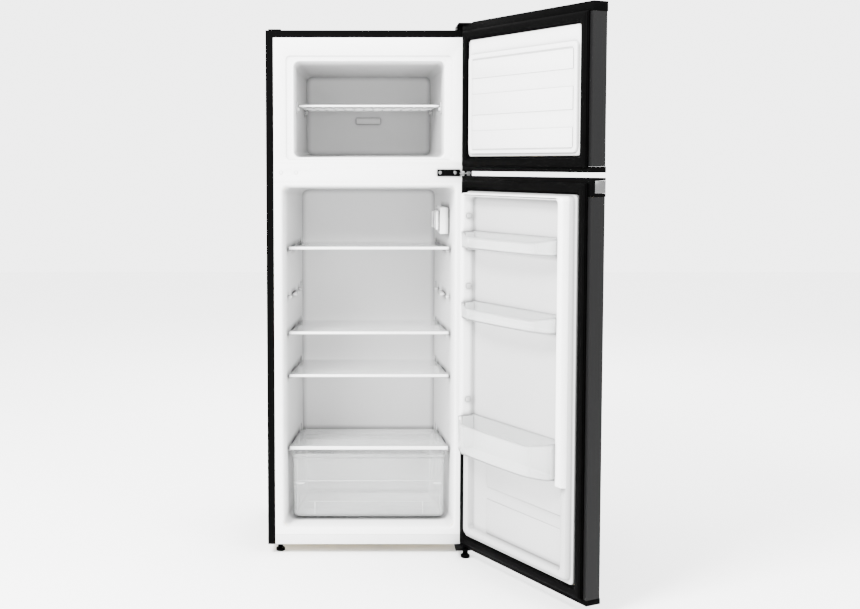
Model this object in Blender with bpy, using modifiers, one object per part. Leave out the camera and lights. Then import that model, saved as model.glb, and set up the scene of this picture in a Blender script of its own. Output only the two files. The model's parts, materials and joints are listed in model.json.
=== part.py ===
"""Top freezer refrigerator with both doors standing open, in metres, +Z up, front facing -Y.

Everything is laid out with the doors shut and the cabinet's front face on y = 0, in the middle of x.
Each door hangs on an empty on its hinge axis, and that empty turns it open.
"""

from math import cos, pi, radians, sin

import bmesh
import bpy
from mathutils import Matrix, Vector

# Cabinet
WIDTH = 0.550
DEPTH = 0.495
BASE_Z = 0.0265
TOP_Z = 1.4145
SHEET = 0.0012
SIDE_RETURN = 0.020
TOP_RETURN = 0.019
GAP = 0.0003
FOAM_Y = (0.007, 0.474)
RAIL_TOP_Z = 0.054
MULLION_Z = (1.013, 1.0635)
BACK_Y = 0.487

# Cold spaces: half width and height of each mouth and of its rear wall
WALL = 0.0018
CORNER = 0.016
FREEZER_MOUTH = (0.201, 1.077, 1.334)
FREEZER_REAR = (0.182, 1.085, 1.318)
FREEZER_REAR_Y = 0.385
FRIDGE_MOUTH = (0.230, 0.075, 0.999)
FRIDGE_REAR = (0.197, 0.085, 0.985)
FRIDGE_REAR_Y = 0.400
HUMP_Y = 0.330
HUMP_Z = 0.262

# Doors
HINGE_X = 0.263
HINGE_Y = -0.025
OPEN_DEG = 118
DOOR_BACK_Y = -0.012
DOOR_FRONT_Y = -0.055
FREEZER_DOOR_Z = (1.042, 1.430)
HINGE_RECESS = (0.034, 0.005)
SKIN_INSET = 0.002
FRIDGE_DOOR_Z = (0.031, 1.030)
CAP = 0.014
DOOR_EDGE = 0.004
GRIP_HEIGHT = 0.030
GRIP_DEPTH = 0.033
FREEZER_TOP_TRIM = 0.009
GASKET_OUTER = 0.263
GASKET_INNER = 0.2365
GASKET_INSET = 0.012
LINER_HALF = 0.2360
LINER_FACE_Y = -0.002
RIDGE_HALF = 0.222
RIDGE_WIDE = 0.022
RIDGE_Y = 0.030
PIN_RADIUS = 0.004
PIN_HOLE = 0.0045
SCREW_Z = 1.038
MID_SCREWS_X = (0.190, 0.230)
PLUGS_X = (-0.235, -0.195)

# Shelves and drawer
SHELF_FRONT_Y = 0.060
SHELF_REAR_Y = 0.350
SHELF_HALF = (0.219, 0.197)
SHELF_Z = (0.828, 0.595, 0.4765)
SPARE_SUPPORT_Z = 0.700
GLASS = 0.004
COVER_Z = 0.274
COVER_REAR_Y = 0.322
DRAWER_Z = (0.0835, 0.2620)
WIRE_SHELF_Z = 1.218
BIN_HALF = 0.198
SMALL_BINS_Z = (0.845, 0.662)
BOTTLE_BIN_Z = 0.315

# Feet and machine bay
FOOT_RADIUS = 0.0125
BAY_Y = 0.345
BAY_TOP_Z = 0.225
COMPRESSOR = (0.055, 0.418, 0.125)
PIPE_Y = 0.4785

KNOB = (0.186, 0.205, 0.905)

parts = bpy.data.collections.new("top_freezer_refrigerator")
cutters = bpy.data.collections.new("cutters")


class Group:
    """The empty that a set of pieces hangs on, and the place that its meshes are measured from."""

    def __init__(self, name, at=(0, 0, 0), parent=None, turn=0.0):
        self.at = Vector(at)
        self.empty = bpy.data.objects.new(name, None)
        parts.objects.link(self.empty)
        self.empty.location = self.at - (parent.at if parent else Vector())
        self.empty.rotation_euler.z = turn
        self.empty.parent = parent.empty if parent else None


def clear_scene():
    for obj in list(bpy.data.objects):
        bpy.data.objects.remove(obj)
    bpy.context.scene.collection.children.link(parts)
    bpy.context.scene.collection.children.link(cutters)


def finish(name, colour, roughness, metallic=0.0):
    material = bpy.data.materials.new(name)
    material.use_nodes = True
    shader = material.node_tree.nodes["Principled BSDF"]
    shader.inputs["Base Color"].default_value = (*colour, 1.0)
    shader.inputs["Roughness"].default_value = roughness
    shader.inputs["Metallic"].default_value = metallic
    return material


def add(bm, group, name, look=None):
    """Makes the mesh an object on its group. With no look it is a cutter."""
    bmesh.ops.recalc_face_normals(bm, faces=bm.faces)
    bmesh.ops.translate(bm, verts=bm.verts, vec=-group.at)
    mesh = bpy.data.meshes.new(name)
    bm.to_mesh(mesh)
    bm.free()
    obj = bpy.data.objects.new(name, mesh)
    obj.parent = group.empty
    if look:
        parts.objects.link(obj)
        own = look.copy()
        own.name = name
        mesh.materials.append(own)
    else:
        cutters.objects.link(obj)
        obj.hide_render = True
        obj.display_type = "WIRE"
    return obj


def box_mesh(low, high, rear=None, round_by=0.0, segments=3):
    """A box. rear gives (low x, low z, high x, high z) of its rear face, where that differs."""
    bm = bmesh.new()
    bmesh.ops.create_cube(bm, size=1.0)
    middle = (Vector(low) + Vector(high)) / 2
    half = Vector((0.5, 0.5, 0.5))
    for vert in bm.verts:
        vert.co = Vector(a + side * (b - a) for a, b, side in zip(low, high, vert.co + half))
        if rear and vert.co.y > middle.y:
            vert.co.x = rear[0] if vert.co.x < middle.x else rear[2]
            vert.co.z = rear[1] if vert.co.z < middle.z else rear[3]
    if round_by:
        deep = [e for e in bm.edges if abs(e.verts[0].co.y - e.verts[1].co.y) > 1e-6]
        bmesh.ops.bevel(
            bm, geom=deep, offset=round_by, segments=segments, profile=0.5, affect="EDGES"
        )
    return bm


def block(group, name, low, high, look=None, **shape):
    return add(box_mesh(low, high, **shape), group, name, look)


def rod(group, name, start, end, radius, look=None, sides=20, end_radius=None):
    """A round bar from start to end."""
    start, end = Vector(start), Vector(end)
    bm = bmesh.new()
    bmesh.ops.create_cone(
        bm,
        cap_ends=True,
        segments=sides,
        radius1=radius,
        radius2=radius if end_radius is None else end_radius,
        depth=(end - start).length,
    )
    turn = (end - start).to_track_quat("Z", "Y").to_matrix().to_4x4()
    bmesh.ops.transform(bm, matrix=Matrix.Translation((start + end) / 2) @ turn, verts=bm.verts)
    return add(bm, group, name, look)


def combine(obj, other, operation):
    modifier = obj.modifiers.new(f"{operation.lower()} {other.name}", "BOOLEAN")
    modifier.operation = operation
    modifier.object = other
    modifier.solver = "EXACT"


def cut(obj, *others):
    for other in others:
        combine(obj, other, "DIFFERENCE")


def join(obj, *others):
    for other in others:
        combine(obj, other, "UNION")


def soften(obj, width, segments=2):
    modifier = obj.modifiers.new("soft edges", "BEVEL")
    modifier.width = width
    modifier.segments = segments
    modifier.limit_method = "ANGLE"
    modifier.angle_limit = radians(50)


def tube(group, name, points, radius, look, resolution=2):
    """A bent tube or wire along the points, closed at both ends, as a mesh."""
    curve = bpy.data.curves.new(name, "CURVE")
    curve.dimensions = "3D"
    curve.bevel_depth = radius
    curve.bevel_resolution = resolution
    curve.use_fill_caps = True
    spline = curve.splines.new("POLY")
    spline.points.add(len(points) - 1)
    for point, place in zip(spline.points, points):
        point.co = (*(Vector(place) - group.at), 1.0)
    obj = bpy.data.objects.new(name, curve)
    obj.parent = group.empty
    parts.objects.link(obj)
    own = look.copy()
    own.name = name
    curve.materials.append(own)
    return obj


# Cabinet ------------------------------------------------------------------------------------------


def half_at(mouth, rear, rear_y, y):
    """The half width of a tapering cold space at depth y."""
    return mouth[0] + (rear[0] - mouth[0]) * y / rear_y


def cavity(group, name, mouth, rear, rear_y, grow=0.0, start=-0.01):
    """The tapering block that fills a cold space, grown on all sides but its mouth."""
    half, low, high = mouth
    rear_half, rear_low, rear_high = rear
    scale = start / rear_y
    front_half = half + (half - rear_half) * -scale
    return block(
        group,
        name,
        (-front_half - grow, start, low - (rear_low - low) * -scale - grow),
        (front_half + grow, rear_y + grow, high + (high - rear_high) * -scale + grow),
        rear=(-rear_half - grow, rear_low - grow, rear_half + grow, rear_high + grow),
        round_by=CORNER + grow,
    )


def build_shell(group):
    half = WIDTH / 2
    shell = block(group, "cabinet_shell", (-half, 0, BASE_Z), (half, DEPTH, TOP_Z), black_steel)
    inside = block(
        group,
        "shell_inside",
        (-half + SHEET, SHEET, BASE_Z - 0.1),
        (half - SHEET, DEPTH + 0.1, TOP_Z - SHEET),
    )
    mouth = block(
        group,
        "shell_mouth",
        (-half + SIDE_RETURN, -0.1, BASE_Z - 0.1),
        (half - SIDE_RETURN, SHEET + 0.001, TOP_Z - TOP_RETURN),
    )
    cut(shell, inside, mouth)
    inner = half - SHEET - GAP
    panel = block(
        group,
        "back_panel",
        (-inner, BACK_Y, BAY_TOP_Z + 0.012),
        (inner, BACK_Y + 0.001, TOP_Z - SHEET - GAP),
        grey_steel,
    )
    ribs = [
        block(
            group,
            f"back_rib_{i}",
            (x - 0.006, BACK_Y + 0.0005, 0.32),
            (x + 0.006, BACK_Y + 0.004, 1.34),
        )
        for i, x in enumerate((-0.16, -0.053, 0.053, 0.16))
    ]
    join(panel, *ribs)


def build_liner(group, name, mouth, rear, rear_y, flange_z):
    """A cold space's moulding: its flange on the cabinet's front, a raised step, and the hollow."""
    face = WIDTH / 2 - SIDE_RETURN - GAP
    liner = block(group, name, (-face, 0.0002, flange_z[0]), (face, WALL, flange_z[1]), white_liner)
    join(liner, cavity(group, f"{name}_body", mouth, rear, rear_y, grow=WALL, start=0.001))
    cut(liner, cavity(group, f"{name}_hollow", mouth, rear, rear_y))
    return liner


def build_liners(group):
    freezer = build_liner(
        group,
        "freezer_liner",
        FREEZER_MOUTH,
        FREEZER_REAR,
        FREEZER_REAR_Y,
        (MULLION_Z[1] + GAP, TOP_Z - TOP_RETURN - GAP),
    )
    for side in (-1, 1):
        half = half_at(FREEZER_MOUTH, FREEZER_REAR, FREEZER_REAR_Y, 0.06)
        rear_half = half_at(FREEZER_MOUTH, FREEZER_REAR, FREEZER_REAR_Y, 0.35)
        outer, inner = sorted((side * (half + 0.001), side * (half - 0.0085)))
        rear_outer, rear_inner = sorted((side * (rear_half + 0.001), side * (rear_half - 0.0085)))
        ledge = block(
            group,
            f"wire_ledge_{side + 1}",
            (outer, 0.06, WIRE_SHELF_Z - 0.012),
            (inner, 0.35, WIRE_SHELF_Z - 0.0035),
            rear=(rear_outer, WIRE_SHELF_Z - 0.012, rear_inner, WIRE_SHELF_Z - 0.0035),
        )
        join(freezer, ledge)

    fridge = build_liner(
        group,
        "fridge_liner",
        FRIDGE_MOUTH,
        FRIDGE_REAR,
        FRIDGE_REAR_Y,
        (RAIL_TOP_Z + GAP, MULLION_Z[0] - GAP),
    )
    hump_half = half_at(FRIDGE_MOUTH, FRIDGE_REAR, FRIDGE_REAR_Y, HUMP_Y) + 0.001
    hump = block(
        group,
        "compressor_hump",
        (-hump_half, HUMP_Y, 0.0825),
        (hump_half, FRIDGE_REAR_Y + 0.001, HUMP_Z),
        rear=(-FRIDGE_REAR[0] - 0.001, 0.0842, FRIDGE_REAR[0] + 0.001, HUMP_Z),
    )
    bay = block(group, "bay_under_hump", (-0.25, BAY_Y, 0.0), (0.25, 0.6, BAY_TOP_Z))
    join(fridge, hump)
    for level, z in enumerate((*SHELF_Z, SPARE_SUPPORT_Z, COVER_Z)):
        back = COVER_REAR_Y if z == COVER_Z else SHELF_REAR_Y
        for side in (-1, 1):
            here = half_at(FRIDGE_MOUTH, FRIDGE_REAR, FRIDGE_REAR_Y, SHELF_FRONT_Y - 0.01)
            there = half_at(FRIDGE_MOUTH, FRIDGE_REAR, FRIDGE_REAR_Y, back)
            near = sorted((side * (here + 0.001), side * (here - 0.012)))
            far = sorted((side * (there + 0.001), side * (there - 0.012)))
            under = z - GAP
            rib = block(
                group,
                f"shelf_rib_{level}_{side + 1}",
                (near[0], SHELF_FRONT_Y - 0.01, under - 0.006),
                (near[1], back, under),
                rear=(far[0], under - 0.006, far[1], under),
            )
            join(fridge, rib)
    cut(fridge, bay)


def build_insulation(group):
    inner = WIDTH / 2 - SHEET - GAP
    foam = block(
        group,
        "cabinet_insulation",
        (-inner, FOAM_Y[0], RAIL_TOP_Z + GAP),
        (inner, FOAM_Y[1], TOP_Z - SHEET - GAP),
        foam_look,
    )
    freezer = cavity(
        group, "foam_freezer", FREEZER_MOUTH, FREEZER_REAR, FREEZER_REAR_Y, grow=WALL + 2 * GAP
    )
    fridge = cavity(
        group, "foam_fridge", FRIDGE_MOUTH, FRIDGE_REAR, FRIDGE_REAR_Y, grow=WALL + 2 * GAP
    )
    bay = block(group, "foam_bay", (-0.3, HUMP_Y - 0.002, 0.0), (0.3, 0.6, BAY_TOP_Z + 0.012))
    plate = block(group, "foam_evaporator", (-0.176, 0.380, 1.095), (0.176, 0.396, 1.310))
    mullion = block(
        group, "foam_mullion", (-0.3, -0.1, MULLION_Z[0] - 0.002), (0.3, 0.008, MULLION_Z[1] + 0.002)
    )
    cut(foam, freezer, fridge, bay, plate, mullion)


def build_front_trim(group):
    face = WIDTH / 2 - SIDE_RETURN - GAP
    mullion = block(
        group,
        "mullion_cover",
        (-face, 0.0002, MULLION_Z[0]),
        (face, 0.006, MULLION_Z[1]),
        white_liner,
    )
    block(
        group,
        "bottom_front_rail",
        (-face, 0.0002, BASE_Z),
        (face, 0.022, RAIL_TOP_Z),
        grey_paint,
    )
    for i, x in enumerate(PLUGS_X, 1):
        plug = rod(
            group, f"mullion_plug_{i}", (x, 0.0055, SCREW_Z), (x, -0.0012, SCREW_Z), 0.0042, white_liner
        )
        hole = rod(group, f"plug_hole_{i}", (x, 0.02, SCREW_Z), (x, -0.01, SCREW_Z), 0.0045)
        cut(mullion, hole)
        soften(plug, 0.0006, 1)
    spare = block(
        group,
        "spare_hinge_plug",
        (-0.268, 0.004, TOP_Z + GAP),
        (-0.234, 0.060, TOP_Z + 0.0035),
        black_plastic,
    )
    soften(spare, 0.0010, 1)


# Hinges and feet ----------------------------------------------------------------------------------


def build_hinges(group):
    arm_z = FREEZER_DOOR_Z[1] - HINGE_RECESS[1] + 0.0005
    bracket = block(
        group,
        "top_hinge_bracket",
        (0.238, 0.008, TOP_Z + GAP),
        (0.268, 0.070, arm_z + 0.0025),
        bare_steel,
    )
    arm = block(
        group, "top_hinge_arm", (0.250, HINGE_Y - 0.010, arm_z), (0.268, 0.010, arm_z + 0.0025)
    )
    pin = rod(
        group,
        "top_hinge_pin",
        (HINGE_X, HINGE_Y, arm_z + 0.001),
        (HINGE_X, HINGE_Y, arm_z - 0.022),
        PIN_RADIUS,
    )
    join(bracket, arm, pin)
    cover = block(
        group,
        "top_hinge_cover",
        (0.233, HINGE_Y - 0.013, TOP_Z + GAP),
        (0.272, 0.078, arm_z + 0.0050),
        black_plastic,
    )
    soften(cover, 0.0015, 1)
    under_cover = block(
        group,
        "cover_hollow",
        (0.2350, HINGE_Y - 0.0115, TOP_Z - 0.02),
        (0.2705, 0.0765, arm_z + 0.0032),
    )
    over_door = block(
        group, "cover_over_door", (0.20, -0.2, TOP_Z - 0.02), (0.30, 0.002, arm_z - 0.0001)
    )
    cut(cover, under_cover, over_door)

    plate = block(
        group, "mid_hinge_bracket", (0.182, -0.0035, 1.0287), (0.243, -0.0002, 1.0466), black_steel
    )
    blade = block(
        group, "mid_hinge_arm", (0.241, HINGE_Y - 0.014, 1.0345), (0.273, -0.002, 1.0375)
    )
    screw_holes = [
        rod(group, f"mid_screw_hole_{i}", (x, 0.01, SCREW_Z), (x, -0.02, SCREW_Z), 0.0032, sides=12)
        for i, x in enumerate(MID_SCREWS_X)
    ]
    mid_pin = rod(
        group, "mid_hinge_pin", (HINGE_X, HINGE_Y, 1.014), (HINGE_X, HINGE_Y, 1.058), PIN_RADIUS
    )
    join(plate, blade, mid_pin)
    cut(plate, *screw_holes)
    for i, x in enumerate(MID_SCREWS_X, 1):
        head_end = (x, -0.0056, SCREW_Z)
        screw = rod(
            group,
            f"mid_hinge_screw_{i}",
            (x, -0.0002, SCREW_Z),
            (x, -0.0052, SCREW_Z),
            0.0028,
            bare_steel,
            sides=12,
        )
        head = rod(group, f"screw_head_{i}", (x, -0.0038, SCREW_Z), head_end, 0.0046, sides=16)
        join(screw, head)

    bottom = block(
        group, "bottom_hinge_bracket", (0.233, -0.046, 0.0222), (0.274, 0.075, 0.0255), black_steel
    )
    low_pin = rod(
        group, "bottom_hinge_pin", (HINGE_X, HINGE_Y, 0.0235), (HINGE_X, HINGE_Y, 0.050), PIN_RADIUS
    )
    join(bottom, low_pin)


def build_feet(group):
    places = {
        "front_foot_right": (0.2605, -0.031, 0.0218),
        "front_foot_left": (-0.243, 0.034, BASE_Z - GAP),
        "rear_foot_right": (0.235, 0.462, 0.0297),
        "rear_foot_left": (-0.235, 0.462, 0.0297),
    }
    for name, (x, y, top) in places.items():
        foot = rod(group, name, (x, y, 0), (x, y, 0.009), FOOT_RADIUS, black_plastic, sides=24)
        stud = rod(group, f"{name}_stud", (x, y, 0.008), (x, y, top), 0.0075, sides=16)
        join(foot, stud)


# Machine bay --------------------------------------------------------------------------------------


def build_machine_bay(group):
    inner = WIDTH / 2 - SHEET - GAP
    tray_plate = block(
        group, "compressor_tray", (-inner, BAY_Y - 0.010, 0.0300), (inner, 0.490, 0.0320), grey_steel
    )
    x, y, z = COMPRESSOR
    dome_radius, dome_height, dome_base = 0.068, 0.050, 0.028
    steps = 8
    turns = [pi / 2 * i / steps for i in range(steps + 1)]
    dome = [(dome_radius * sin(turn), dome_base + dome_height * cos(turn)) for turn in turns]
    outline = dome + [(0.071, 0.004), (0.071, -0.004)] + [(r, -h) for r, h in reversed(dome)]
    bm = bmesh.new()
    verts = [bm.verts.new((x + r, y, z + height)) for r, height in outline]
    edges = [bm.edges.new(pair) for pair in zip(verts, verts[1:])]
    bmesh.ops.spin(
        bm, geom=verts + edges, cent=(x, y, z), axis=(0, 0, 1), angle=2 * pi, steps=28, use_merge=True
    )
    bmesh.ops.remove_doubles(bm, verts=bm.verts, dist=1e-5)
    add(bm, group, "compressor", black_steel)
    for i, (dx, dy) in enumerate(((-0.05, -0.04), (0.05, -0.04), (-0.05, 0.04), (0.05, 0.04))):
        post = rod(
            group, f"tray_post_{i}", (x + dx, y + dy, 0.031), (x + dx, y + dy, 0.0500), 0.009, sides=14
        )
        join(tray_plate, post)
    block(
        group,
        "relay_cover",
        (x + 0.0725, y - 0.028, z - 0.030),
        (x + 0.105, y + 0.028, z + 0.032),
        black_plastic,
    )
    tray = block(
        group,
        "drip_tray",
        (x - 0.075, y - 0.045, z + 0.0790),
        (x + 0.070, y + 0.050, 0.2220),
        black_plastic,
    )
    tray_hollow = block(
        group, "tray_hollow", (x - 0.073, y - 0.043, z + 0.0810), (x + 0.068, y + 0.048, 0.30)
    )
    cut(tray, tray_hollow)
    rod(group, "filter_drier", (-0.135, 0.425, 0.075), (-0.135, 0.425, 0.190), 0.0085, copper, sides=16)
    suction = [
        (-0.020, 0.425, 0.120),
        (-0.060, 0.430, 0.120),
        (-0.085, 0.440, 0.135),
        (-0.090, PIPE_Y, 0.160),
        (-0.090, PIPE_Y, 0.260),
    ]
    tube(group, "suction_tube", suction, 0.0035, copper)
    discharge = [
        (-0.020, 0.400, 0.095),
        (-0.080, 0.400, 0.095),
        (-0.110, 0.410, 0.070),
        (-0.170, 0.440, 0.070),
        (-0.190, PIPE_Y, 0.100),
        (-0.190, PIPE_Y, 0.252),
    ]
    tube(group, "discharge_tube", discharge, 0.0026, copper)
    points = []
    runs = 9
    for run in range(runs):
        z_run = 0.30 + run * 0.12
        ends = (-0.19, 0.19) if run % 2 == 0 else (0.19, -0.19)
        points += [(ends[0], 0.4805, z_run), (ends[1], 0.4805, z_run)]
    tube(group, "condenser_coil", points, 0.0024, copper, resolution=1)
    block(group, "evaporator_plate", (-0.170, 0.3885, 1.100), (0.170, 0.3900, 1.300), bare_steel)
    block(
        group, "mains_inlet_gland", (0.205, 0.452, 0.0325), (0.228, 0.487, 0.0600), black_plastic
    )


# Inside -------------------------------------------------------------------------------------------


def build_shelves(group):
    front, rear = SHELF_HALF
    for i, z in enumerate(SHELF_Z):
        home = Group(f"glass_shelf_{i + 1}_slide", (0, SHELF_FRONT_Y, z), group)
        block(
            home,
            f"glass_shelf_{i + 1}",
            (-front, SHELF_FRONT_Y + 0.0053, z),
            (front, SHELF_REAR_Y, z + GLASS),
            clear_glass,
            rear=(-rear, z, rear, z + GLASS),
        )
        trim = block(
            home,
            f"shelf_trim_{i + 1}",
            (-front, SHELF_FRONT_Y, z),
            (front, SHELF_FRONT_Y + 0.005, z + 0.0075),
            white_liner,
        )
        soften(trim, 0.0008, 1)
    back_half = half_at(FRIDGE_MOUTH, FRIDGE_REAR, FRIDGE_REAR_Y, COVER_REAR_Y) - 0.003
    block(
        group,
        "crisper_cover",
        (-front, SHELF_FRONT_Y + 0.0053, COVER_Z),
        (front, COVER_REAR_Y, COVER_Z + GLASS),
        clear_glass,
        rear=(-back_half, COVER_Z, back_half, COVER_Z + GLASS),
    )
    trim = block(
        group,
        "crisper_cover_trim",
        (-front, SHELF_FRONT_Y, COVER_Z),
        (front, SHELF_FRONT_Y + 0.005, COVER_Z + 0.0095),
        white_liner,
    )
    soften(trim, 0.0008, 1)


def build_drawer(group):
    home = Group("crisper_slide", (0, SHELF_FRONT_Y, DRAWER_Z[0]), group)
    drawer = block(
        home,
        "crisper_drawer",
        (-0.212, SHELF_FRONT_Y + 0.002, DRAWER_Z[0]),
        (0.212, COVER_REAR_Y - 0.002, DRAWER_Z[1]),
        clear_plastic,
        rear=(-0.186, DRAWER_Z[0], 0.186, DRAWER_Z[1]),
    )
    hollow = block(
        home,
        "drawer_hollow",
        (-0.2095, SHELF_FRONT_Y + 0.0045, DRAWER_Z[0] + 0.0025),
        (0.2095, COVER_REAR_Y - 0.0045, 0.32),
        rear=(-0.1837, DRAWER_Z[0] + 0.0025, 0.1837, 0.32),
    )
    cut(drawer, hollow)


def build_wire_shelf(group):
    home = Group("wire_shelf_slide", (0, 0.07, WIRE_SHELF_Z), group)
    half, rear_half, z = 0.1925, 0.1790, WIRE_SHELF_Z
    rail = rod(home, "wire_shelf", (-half, 0.072, z), (half, 0.072, z), 0.003, white_wire, sides=10)
    back = rod(home, "wire_rear", (-rear_half, 0.345, z), (rear_half, 0.345, z), 0.003, sides=10)
    count = 11
    bars = []
    for i in range(count + 1):
        t = 2 * i / count - 1
        bars.append(
            rod(
                home,
                f"wire_bar_{i}",
                (t * (half - 0.004), 0.072, z),
                (t * (rear_half - 0.002), 0.345, z),
                0.0017,
                sides=6,
            )
        )
    join(rail, back, *bars)


def build_lamp(group):
    wall_front = half_at(FRIDGE_MOUTH, FRIDGE_REAR, FRIDGE_REAR_Y, 0.10)
    wall_back = half_at(FRIDGE_MOUTH, FRIDGE_REAR, FRIDGE_REAR_Y, 0.26)
    housing = block(
        group,
        "thermostat_housing",
        (0.1955, 0.100, 0.868),
        (wall_front - 0.0006, 0.260, 0.942),
        white_liner,
        rear=(0.1955, 0.868, wall_back - 0.0006, 0.942),
    )
    soften(housing, 0.004)
    pocket = block(group, "lamp_pocket", (0.190, 0.108, 0.878), (0.2130, 0.160, 0.932))
    shaft_hole = rod(group, "knob_hole", (0.18, *KNOB[1:]), (0.212, *KNOB[1:]), 0.0075)
    cut(housing, pocket, shaft_hole)
    lens = block(group, "lamp_lens", (0.1855, 0.1085, 0.8785), (0.1950, 0.1595, 0.9315), clear_plastic)
    soften(lens, 0.004)
    bulb = rod(group, "lamp_bulb", (0.204, 0.134, 0.888), (0.204, 0.134, 0.914), 0.0065, clear_glass, 16)
    soften(bulb, 0.002)
    home = Group("thermostat_knob_axis", KNOB, group)
    knob = rod(
        home,
        "thermostat_knob",
        (0.1950, *KNOB[1:]),
        (0.1850, *KNOB[1:]),
        0.027,
        white_liner,
        sides=28,
        end_radius=0.0255,
    )
    grip = block(home, "knob_grip", (0.1790, 0.2015, 0.882), (0.1860, 0.2085, 0.928))
    shaft = rod(home, "knob_shaft", (0.1940, *KNOB[1:]), (0.2100, *KNOB[1:]), 0.0060, sides=16)
    join(knob, grip, shaft)


# Doors --------------------------------------------------------------------------------------------


def build_door(group, name, z_range, upper_trim=0.0, top_inset=GASKET_INSET):
    """The pieces both doors share: skin, two caps, foam and gasket. Gives its liner's heights."""
    half = WIDTH / 2
    low, high = z_range
    skin_low, skin_high = low + CAP, high - CAP - upper_trim
    skin = block(
        group,
        f"{name}_skin",
        (-half, DOOR_FRONT_Y + SKIN_INSET, skin_low),
        (half, DOOR_BACK_Y, skin_high),
        black_steel,
    )
    hollow = block(
        group,
        f"{name}_skin_hollow",
        (-half + SHEET, DOOR_FRONT_Y + SKIN_INSET + SHEET, skin_low - 0.1),
        (half - SHEET, DOOR_BACK_Y - SHEET, skin_high + 0.1),
    )
    back = block(
        group,
        f"{name}_skin_back",
        (-LINER_HALF - 0.002, DOOR_BACK_Y - 0.01, skin_low - 0.1),
        (LINER_HALF + 0.002, 0.0, skin_high + 0.1),
    )
    soften_front(skin, DOOR_EDGE)
    soften_front(hollow, DOOR_EDGE - SHEET)
    cut(skin, hollow, back)
    top = block(
        group,
        f"{name}_top_cap",
        (-half, DOOR_FRONT_Y, skin_high + GAP),
        (half, DOOR_BACK_Y, high),
        black_plastic,
    )
    bottom = block(
        group,
        f"{name}_bottom_cap",
        (-half, DOOR_FRONT_Y, low),
        (half, DOOR_BACK_Y, skin_low - GAP),
        black_plastic,
    )
    axis = (HINGE_X, HINGE_Y)
    low_hole = rod(group, f"{name}_low_hole", (*axis, low - 0.01), (*axis, low + 0.023), PIN_HOLE)
    top_hole = rod(group, f"{name}_top_hole", (*axis, high - 0.030), (*axis, high + 0.01), PIN_HOLE)
    soften_front(top, DOOR_EDGE)
    soften_front(bottom, DOOR_EDGE)
    cut(bottom, low_hole)
    cut(top, top_hole)
    foam = block(
        group,
        f"{name}_insulation",
        (-half + SHEET + GAP, DOOR_FRONT_Y + SKIN_INSET + SHEET + GAP, skin_low),
        (half - SHEET - GAP, DOOR_BACK_Y - SHEET - GAP, skin_high),
        foam_look,
    )
    soften_front(foam, DOOR_EDGE - SHEET)
    cut(foam, low_hole, top_hole)
    z0, z1 = low + GASKET_INSET, high - top_inset
    wide = GASKET_OUTER - GASKET_INNER
    gasket = block(
        group,
        f"{name}_gasket",
        (-GASKET_OUTER, DOOR_BACK_Y + GAP, z0),
        (GASKET_OUTER, -0.0012, z1),
        rubber,
    )
    middle = block(
        group, f"{name}_gasket_hole", (-GASKET_INNER, -0.1, z0 + wide), (GASKET_INNER, 0.1, z1 - wide)
    )
    soften(gasket, 0.003, 2)
    cut(gasket, middle)
    return z0 + wide + GAP, z1 - wide - GAP


def soften_front(obj, width):
    """Rounds a door piece's two upright front edges."""
    bm = bmesh.new()
    bm.from_mesh(obj.data)
    front = min(v.co.y for v in bm.verts)
    upright = [
        e
        for e in bm.edges
        if all(abs(v.co.y - front) < 1e-6 for v in e.verts)
        and abs(e.verts[0].co.z - e.verts[1].co.z) > 0.005
    ]
    bmesh.ops.bevel(bm, geom=upright, offset=width, segments=3, profile=0.5, affect="EDGES")
    bm.to_mesh(obj.data)
    bm.free()


def build_freezer_door(group):
    door = Group("freezer_door_hinge", (HINGE_X, HINGE_Y, 0), group, radians(OPEN_DEG))
    low, high = build_door(
        door, "freezer_door", FREEZER_DOOR_Z, upper_trim=FREEZER_TOP_TRIM, top_inset=0.021
    )
    reach, depth = HINGE_RECESS
    recess = block(
        door,
        "hinge_recess",
        (HINGE_X - reach, DOOR_FRONT_Y - 0.01, FREEZER_DOOR_Z[1] - depth),
        (WIDTH, DOOR_BACK_Y + 0.01, FREEZER_DOOR_Z[1] + 0.01),
    )
    cut(bpy.data.objects["freezer_door_top_cap"], recess)
    liner = block(
        door,
        "freezer_door_liner",
        (-LINER_HALF, DOOR_BACK_Y + GAP, low),
        (LINER_HALF, -0.0085, high),
        white_liner,
        round_by=0.012,
    )
    panel = block(
        door,
        "freezer_panel",
        (-0.229, -0.010, 1.088),
        (0.229, LINER_FACE_Y, 1.343),
        round_by=0.012,
    )
    field = block(door, "panel_field", (-0.2145, -0.0045, 1.097), (0.2145, 0.01, 1.3305), round_by=0.010)
    join(liner, panel)
    cut(liner, field)
    for low, high in ((1.147, 1.187), (1.241, 1.281)):
        cut(liner, block(door, f"panel_band_{low}", (-0.2145, -0.0062, low), (0.2145, 0.01, high)))


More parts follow.
